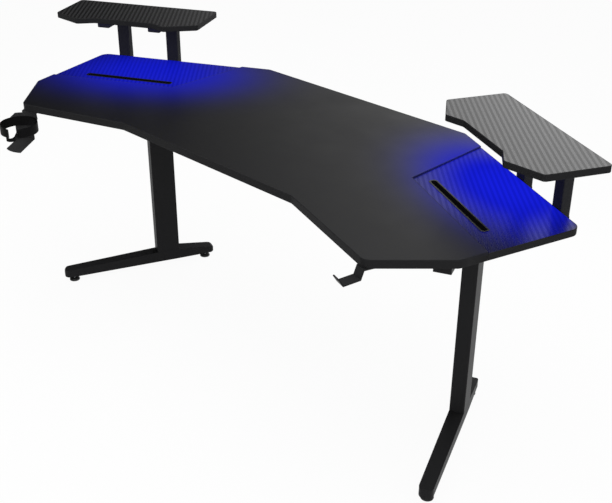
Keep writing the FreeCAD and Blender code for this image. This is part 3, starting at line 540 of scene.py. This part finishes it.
# %% [markdown]
# Seventy-eight screws and bolts and twelve nuts hold the desk together. In CAD each is a plain stepped
# cylinder, which says where it sits, how it points and how big it is. So each node is split into its
# separate solids, and each solid is measured: of the three directions that fasteners have on this desk,
# its axis is the one it is slimmest about.

# %% Find and measure the fasteners
leg_splay = math.radians(23.4)
head_share = 0.95
hair = 0.0001
directions = [Vector((0, 0, 1)), Vector((math.cos(leg_splay), math.sin(leg_splay), 0)),
              Vector((-math.cos(leg_splay), math.sin(leg_splay), 0))]


def solids_of(node):
    """The separate solids of a node, each as a list of its corner points."""
    work = merged(node)
    seen, found = set(), []
    for start in work.verts:
        if start in seen:
            continue
        seen.add(start)
        group = [start]
        for vert in group:
            others = [edge.other_vert(vert) for edge in vert.link_edges]
            fresh = [other for other in others if other not in seen]
            seen.update(fresh)
            group.extend(dict.fromkeys(fresh))
        found.append([vert.co.copy() for vert in group])
    work.free()
    return found


def spans(points, axis):
    """Middle of a solid, and each point's place along the axis and distance from it."""
    aside = axis.orthogonal().normalized()
    middle_point = Vector()
    for way in (axis, aside, axis.cross(aside)):
        places = [point.dot(way) for point in points]
        middle_point += way * (min(places) + max(places)) / 2
    along = [axis.dot(point - middle_point) for point in points]
    out = [(point - middle_point - axis * place).length for point, place in zip(points, along)]
    return middle_point, along, out


def head_places(along, out):
    """Where along the axis the widest ring, the head's, begins and ends."""
    return [place for place, radius in zip(along, out) if radius > head_share * max(out)]


def measure(points):
    """Seat under the head, direction to the head, and sizes of one fastener."""
    axis = min(directions, key=lambda way: max(spans(points, way)[2]))
    centre, along, out = spans(points, axis)
    if sum(head_places(along, out)) < 0:
        axis = -axis
        centre, along, out = spans(points, axis)
    seat = min(head_places(along, out))
    shank = [radius for place, radius in zip(along, out) if place < seat + hair]
    return {"seat": centre + axis * seat, "axis": axis, "head_radius": max(out),
            "head_height": max(along) - seat, "length": seat - min(along), "inner_radius": min(shank)}


fastener_nodes = "board_screws shelf_screws accessory_screws leg_bolts rail_bolts rail_nuts levelling_nuts"
fasteners = {node: [measure(points) for points in solids_of(node)] for node in fastener_nodes.split()}
for node, found in fasteners.items():
    sizes = {key: round(found[0][key] * 1000, 2) for key in ("head_radius", "head_height", "length")}
    print(node, len(found), sizes)

# %% [markdown]
# Wood screws have a pan head with a cross recess, machine bolts a round head with a hexagon socket, and
# nuts are hexagons with bevelled corners. Each is a stack of rings about one axis, and what makes a
# cross or a hexagon of a ring is only how its radius changes with the angle. So one function builds all
# three, at a radius and a height of 1.

# %% Heads of screws, bolts and nuts
steps = 24
arm_length = 0.55
arm_half_width = 0.13
least_sine = 0.01


def circle(angle):
    """Radius of a round ring."""
    return 1.0


def cross(angle):
    """Radius of a cross with four arms."""
    off_arm = abs((angle + math.pi / 4) % (math.pi / 2) - math.pi / 4)
    return min(arm_length / math.cos(off_arm), arm_half_width / max(math.sin(off_arm), least_sine))


def hexagon(angle):
    """Radius of a hexagon whose corners are at 1."""
    off_flat = (angle % (math.pi / 3)) - math.pi / 6
    return math.cos(math.pi / 6) / math.cos(off_flat)


def ring_stack(name, rings, hollow):
    """A closed mesh through rings of (shape, size, level); a hollow one joins its last ring to its first."""
    work = bmesh.new()
    angles = [2 * math.pi * i / steps for i in range(steps)]
    loops = []
    for shape, size, ring_level in rings:
        radii = [size * shape(angle) for angle in angles]
        loops.append([work.verts.new((radius * math.cos(angle), radius * math.sin(angle), ring_level))
                      for radius, angle in zip(radii, angles)])
    for lower, upper in zip(loops, loops[1:] + (loops[:1] if hollow else [])):
        for i in range(steps):
            work.faces.new((lower[i - 1], lower[i], upper[i], upper[i - 1]))
    if not hollow:
        work.faces.new(loops[0])
        work.faces.new(loops[-1])
    bmesh.ops.recalc_face_normals(work, faces=work.faces)
    mesh = bpy.data.meshes.new(name)
    work.to_mesh(mesh)
    work.free()
    return bpy.data.objects.new(name, mesh)


def hex_nut(name, bore):
    """A nut with a bore of that share of its radius."""
    return ring_stack(name, [
        (hexagon, 0.95, 0.0), (hexagon, 1.0, 0.08), (hexagon, 1.0, 0.92), (hexagon, 0.95, 1.0),
        (circle, bore, 1.0), (circle, bore, 0.0)], True)


pan_head = ring_stack("pan_head", [
    (circle, 1.0, 0.0), (circle, 1.0, 0.35), (circle, 0.95, 0.66), (circle, 0.82, 0.90),
    (circle, 0.64, 1.0), (cross, 1.0, 1.0), (cross, 0.70, 0.40)], False)
socket_head = ring_stack("socket_head", [
    (circle, 1.0, 0.0), (circle, 1.0, 0.86), (circle, 0.93, 1.0),
    (hexagon, 0.56, 1.0), (hexagon, 0.56, 0.35)], False)
print("faces of a pan head", len(pan_head.data.polygons))

# %% [markdown]
# Geometry Nodes put one head on each seat. The seats are loose points that carry two values, the
# direction of the axis and the length of the shank. The tree aims the head along the axis, gives each
# its own turn, as a screwdriver leaves it, and hangs a shank below. Real screws never line up, so the
# turn is random with a fixed seed.

# %% Tree that sets fasteners on points
shank_sides = 12


def new_tree(name, sockets):
    """An empty tree with named inputs, and the sockets that carry them."""
    made = bpy.data.node_groups.new(name, "GeometryNodeTree")
    for label, kind in sockets.items():
        made.interface.new_socket(label, in_out="INPUT", socket_type="NodeSocket" + kind)
    made.interface.new_socket("Geometry", in_out="OUTPUT", socket_type="NodeSocketGeometry")
    return made, made.nodes.new("NodeGroupInput").outputs


def hand_out(tree, geometry, finish):
    """Makes the geometry real, gives it its finish and hands it out."""
    real = add(tree, "GeometryNodeRealizeInstances", {}, {0: geometry})
    painted = add(tree, "GeometryNodeSetMaterial", {}, {"Geometry": real.outputs[0], "Material": finish})
    add(tree, "NodeGroupOutput", {}, {0: painted.outputs[0]})


tree, given = new_tree("fasteners_on_points", {
    "Geometry": "Geometry", "Head": "Object", "Head radius": "Float", "Head height": "Float",
    "Shank radius": "Float", "Turn seed": "Int", "Finish": "Material"})
fastener_tree = tree
axis = add(tree, "GeometryNodeInputNamedAttribute", {"data_type": "FLOAT_VECTOR"}, {"Name": "axis"})
length = add(tree, "GeometryNodeInputNamedAttribute", {"data_type": "FLOAT"}, {"Name": "length"})
aim = add(tree, "FunctionNodeAlignRotationToVector", {"axis": "Z"}, {"Vector": axis.outputs[0]})
chance = add(tree, "FunctionNodeRandomValue", {"data_type": "FLOAT"}, {
    3: 2 * math.pi, "Seed": given["Turn seed"]})
spin = add(tree, "FunctionNodeAxisAngleToRotation", {}, {
    "Axis": (0.0, 0.0, 1.0), "Angle": chance.outputs[1]})
aimed = add(tree, "FunctionNodeRotateRotation", {"rotation_space": "LOCAL"}, {
    0: aim.outputs[0], 1: spin.outputs[0]})
shape = add(tree, "GeometryNodeObjectInfo", {}, {"Object": given["Head"]})
size = add(tree, "ShaderNodeCombineXYZ", {}, {
    0: given["Head radius"], 1: given["Head radius"], 2: given["Head height"]})
sized = add(tree, "GeometryNodeTransform", {}, {
    "Geometry": shape.outputs["Geometry"], "Scale": size.outputs[0]})
heads = add(tree, "GeometryNodeInstanceOnPoints", {}, {
    "Points": given["Geometry"], "Instance": sized.outputs[0], "Rotation": aimed.outputs[0]})
rod = add(tree, "GeometryNodeMeshCylinder", {}, {
    "Vertices": shank_sides, "Radius": given["Shank radius"], "Depth": 1.0})
hung = add(tree, "GeometryNodeTransform", {}, {
    "Geometry": rod.outputs["Mesh"], "Translation": (0.0, 0.0, -0.5)})
stretch = add(tree, "ShaderNodeCombineXYZ", {}, {0: 1.0, 1: 1.0, 2: length.outputs[0]})
shanks = add(tree, "GeometryNodeInstanceOnPoints", {}, {
    "Points": given["Geometry"], "Instance": hung.outputs[0], "Rotation": aimed.outputs[0],
    "Scale": stretch.outputs[0]})
has_shank = maths(tree, "GREATER_THAN", given["Shank radius"], 0.0)
chosen = add(tree, "GeometryNodeSwitch", {"input_type": "GEOMETRY"}, {0: has_shank, 2: shanks.outputs[0]})
joined = add(tree, "GeometryNodeJoinGeometry", {}, {0: heads.outputs[0]})
tree.links.new(chosen.outputs[0], joined.inputs[0])
hand_out(tree, joined.outputs[0], given["Finish"])
print(tree.name, "nodes", len(tree.nodes))

# %% [markdown]
# The tree runs on one node at a time, with the sizes measured above, and its result becomes a plain
# mesh that stands for that node. A nut is a head without a shank.

# %% Set the fasteners
shortest_shank = 0.001


def made_by(tree, name, base, values):
    """The mesh that a tree makes of a base mesh with the named inputs."""
    holder = bpy.data.objects.new(name, base)
    bpy.context.scene.collection.objects.link(holder)
    modifier = holder.modifiers.new(name, "NODES")
    modifier.node_group = tree
    for item in tree.interface.items_tree:
        if item.in_out == "INPUT" and item.name in values:
            modifier[item.identifier] = values[item.name]
    ready = holder.evaluated_get(bpy.context.evaluated_depsgraph_get())
    mesh = bpy.data.meshes.new_from_object(ready)
    mesh.name = name
    bpy.data.objects.remove(holder)
    mesh.shade_smooth()
    mesh.set_sharp_from_angle(angle=sharp_angle)
    return mesh


head_of = {
    "board_screws": pan_head, "shelf_screws": pan_head, "accessory_screws": pan_head,
    "leg_bolts": socket_head, "rail_bolts": socket_head,
    "rail_nuts": hex_nut("rail_nut", 0.56), "levelling_nuts": hex_nut("levelling_nut", 0.54),
}
for seed, (node, head) in enumerate(head_of.items()):
    found = fasteners[node]
    ways = [value for row in found for value in row["axis"]]
    lengths = [row["length"] for row in found]
    seats = bpy.data.meshes.new(node + "_seats")
    seats.from_pydata([row["seat"] for row in found], [], [])
    seats.attributes.new("axis", "FLOAT_VECTOR", "POINT").data.foreach_set("vector", ways)
    seats.attributes.new("length", "FLOAT", "POINT").data.foreach_set("value", lengths)
    is_nut = lengths[0] < shortest_shank
    mesh = made_by(fastener_tree, node + "_set", seats, {
        "Head": head, "Head radius": found[0]["head_radius"], "Head height": found[0]["head_height"],
        "Shank radius": 0.0 if is_nut else found[0]["inner_radius"],
        "Turn seed": seed, "Finish": finish_of[node]})
    as_piece(node + "_set", mesh, node)
    print(node, "faces", len(mesh.polygons))
for head in dict.fromkeys(head_of.values()):
    bpy.data.objects.remove(head)

# %% [markdown]
# The four levelling feet hang on rolled M8 studs, and the thread shows between pad and foot. A thread
# is a cylinder whose radius rises and falls as a spiral: at each point, the height counted in pitches
# less the angle counted in turns says how far up the ridge it is. Written as a rule on a fine cylinder,
# it stays one closed skin. The pitch is the real 1.25 mm.

# %% Threaded studs
pitch = 0.00125
thread_depth = 0.0007
thread_sides = 24
rows_per_pitch = 6
tree, given = new_tree("threaded_stud", {
    "Geometry": "Geometry", "Radius": "Float", "Depth": "Float", "Pitch": "Float", "Length": "Float",
    "Rows": "Int", "Foot": "Vector", "Finish": "Material"})
rod = add(tree, "GeometryNodeMeshCylinder", {}, {
    "Vertices": thread_sides, "Side Segments": given["Rows"],
    "Radius": given["Radius"], "Depth": given["Length"]})
point = add(tree, "GeometryNodeInputPosition", {}, {}).outputs[0]
axes = axes_of(tree, point)
turns = maths(tree, "DIVIDE", maths(tree, "ARCTAN2", axes["Y"], axes["X"]), 2 * math.pi)
pitches = maths(tree, "DIVIDE", axes["Z"], given["Pitch"])
ridge = maths(tree, "PINGPONG", maths(tree, "SUBTRACT", pitches, turns), half_wave)
root = maths(tree, "SUBTRACT", 1.0, maths(tree, "DIVIDE", given["Depth"], given["Radius"]))
narrow = remap(tree, ridge, (0.0, half_wave), (root, 1.0))
pulled = add(tree, "ShaderNodeCombineXYZ", {}, {0: narrow, 1: narrow, 2: 1.0})
moved = add(tree, "ShaderNodeVectorMath", {"operation": "MULTIPLY"}, {0: point, 1: pulled.outputs[0]})
wound = add(tree, "GeometryNodeSetPosition", {}, {
    "Geometry": rod.outputs["Mesh"], "Position": moved.outputs[0]})
placed = add(tree, "GeometryNodeTransform", {}, {
    "Geometry": wound.outputs[0], "Translation": given["Foot"]})
hand_out(tree, placed.outputs[0], given["Finish"])
for node in "right_front_stud right_back_stud left_front_stud left_back_stud".split():
    low, high = (Vector(corner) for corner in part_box(node))
    mesh = made_by(tree, node + "_threaded", bpy.data.meshes.new(node + "_start"), {
        "Radius": (high.x - low.x) / 2, "Depth": thread_depth, "Pitch": pitch, "Length": high.z - low.z,
        "Rows": round((high.z - low.z) / pitch * rows_per_pitch), "Foot": (low + high) / 2,
        "Finish": finish_of[node]})
    as_piece(node + "_threaded", mesh, node)
print("thread faces", len(mesh.polygons))

# %% [markdown]
# What is left of the CAD nodes keeps its own mesh and only gets its finish.

# %% Finish the nodes that stay
for node, obj in frame["nodes"].items():
    obj.data.materials.clear()
    obj.data.materials.append(finish_of[node])
print("finished nodes", len(frame["nodes"]))

# %% [markdown]
# The desk stands on a pale studio floor. To the camera, and to anything glossy, the floor is mostly its
# own white, so that the picture gets a white ground, and the rest is plain white paint that takes the
# desk's soft shadow.

# %% Floor
floor_size = 60.0
own_white = 0.95
corner = floor_size / 2
corners = [(-corner, -corner, 0), (corner, -corner, 0), (corner, corner, 0), (-corner, corner, 0)]
mesh = bpy.data.meshes.new("studio_floor")
mesh.from_pydata(corners, [], [(0, 1, 2, 3)])
floor = bpy.data.objects.new("studio_floor", mesh)
bpy.context.scene.collection.objects.link(floor)
paint = bpy.data.materials.new("white_studio_floor")
paint.use_nodes = True
tree = paint.node_tree
shader = tree.nodes["Principled BSDF"]
connect(tree, shader, {"Base Color": colour("#f0f0f0"), "Roughness": 0.9, "Specular IOR Level": 0.0})
shine = add(tree, "ShaderNodeEmission", {}, {"Strength": 1.0})
rays = tree.nodes.new("ShaderNodeLightPath").outputs
seen = maths(tree, "MAXIMUM", rays["Is Camera Ray"], rays["Is Glossy Ray"])
share = maths(tree, "MULTIPLY", seen, own_white)
both = add(tree, "ShaderNodeMixShader", {}, {0: share, 1: shader.outputs[0], 2: shine.outputs[0]})
tree.links.new(both.outputs[0], tree.nodes["Material Output"].inputs["Surface"])
mesh.materials.append(paint)
print("floor", floor_size, "m")

# %% [markdown]
# The light is a plain studio: a pale room that is brighter behind the desk than at its back left, where
# a dark wall leaves the left wing black, a weak fill from the front right, and a large soft box
# overhead. The room is the world, so its brightness follows the direction of a ray and nothing else.
# The heading of a ray is counted from straight back, to the right.

# %% Light
wall_begins = (math.radians(-56), math.radians(-31))
wall_curve = 1.75
wall_level = 1.75
wall_fades = (math.radians(5), math.radians(50))
right_wall_share = 0.3
wall_top = (0.45, 0.8)
ceiling_share = 0.1
fill_direction = (0.5, -0.866, 0.0)
fill_curve = 4.0
fill_level = 1.2
room_level = 0.02
world = bpy.data.worlds.new("studio_room")
bpy.context.scene.world = world
world.use_nodes = True
tree = world.node_tree
way = tree.nodes.new("ShaderNodeTexCoord").outputs["Generated"]
axes = axes_of(tree, way)
heading = maths(tree, "ARCTAN2", axes["X"], axes["Y"])
rise = maths(tree, "POWER", remap(tree, heading, wall_begins, whole), wall_curve)
back_wall = maths(tree, "MULTIPLY", rise, wall_level)
right_wall = remap(tree, heading, wall_fades, (1.0, right_wall_share))
low_wall = remap(tree, axes["Z"], wall_top, (1.0, ceiling_share), interpolation_type="SMOOTHSTEP")
walls = maths(tree, "MULTIPLY", maths(tree, "MULTIPLY", back_wall, right_wall), low_wall)
facing = add(tree, "ShaderNodeVectorMath", {"operation": "DOT_PRODUCT"}, {0: way, 1: fill_direction})
in_front = maths(tree, "MAXIMUM", facing.outputs["Value"], 0.0)
fill = maths(tree, "POWER", in_front, fill_curve)
room = maths(tree, "ADD", maths(tree, "MULTIPLY_ADD", fill, fill_level, walls), room_level)
rays = tree.nodes.new("ShaderNodeLightPath").outputs
brightness = add(tree, "ShaderNodeMix", {}, {0: rays["Is Camera Ray"], 2: room, 3: 1.0})
connect(tree, tree.nodes["Background"], {"Color": colour("#ffffff"), "Strength": brightness.outputs[0]})
box_light = bpy.data.lights.new("overhead_soft_box", "AREA")
box_light.shape = "SQUARE"
box_light.size = 4.0
box_light.energy = 120.0
overhead = bpy.data.objects.new("overhead_soft_box", box_light)
overhead.location = (0.3, -0.2, 3.4)
bpy.context.scene.collection.objects.link(overhead)
bpy.context.scene.view_settings.view_transform = "Standard"
print("soft box", box_light.energy, "W")
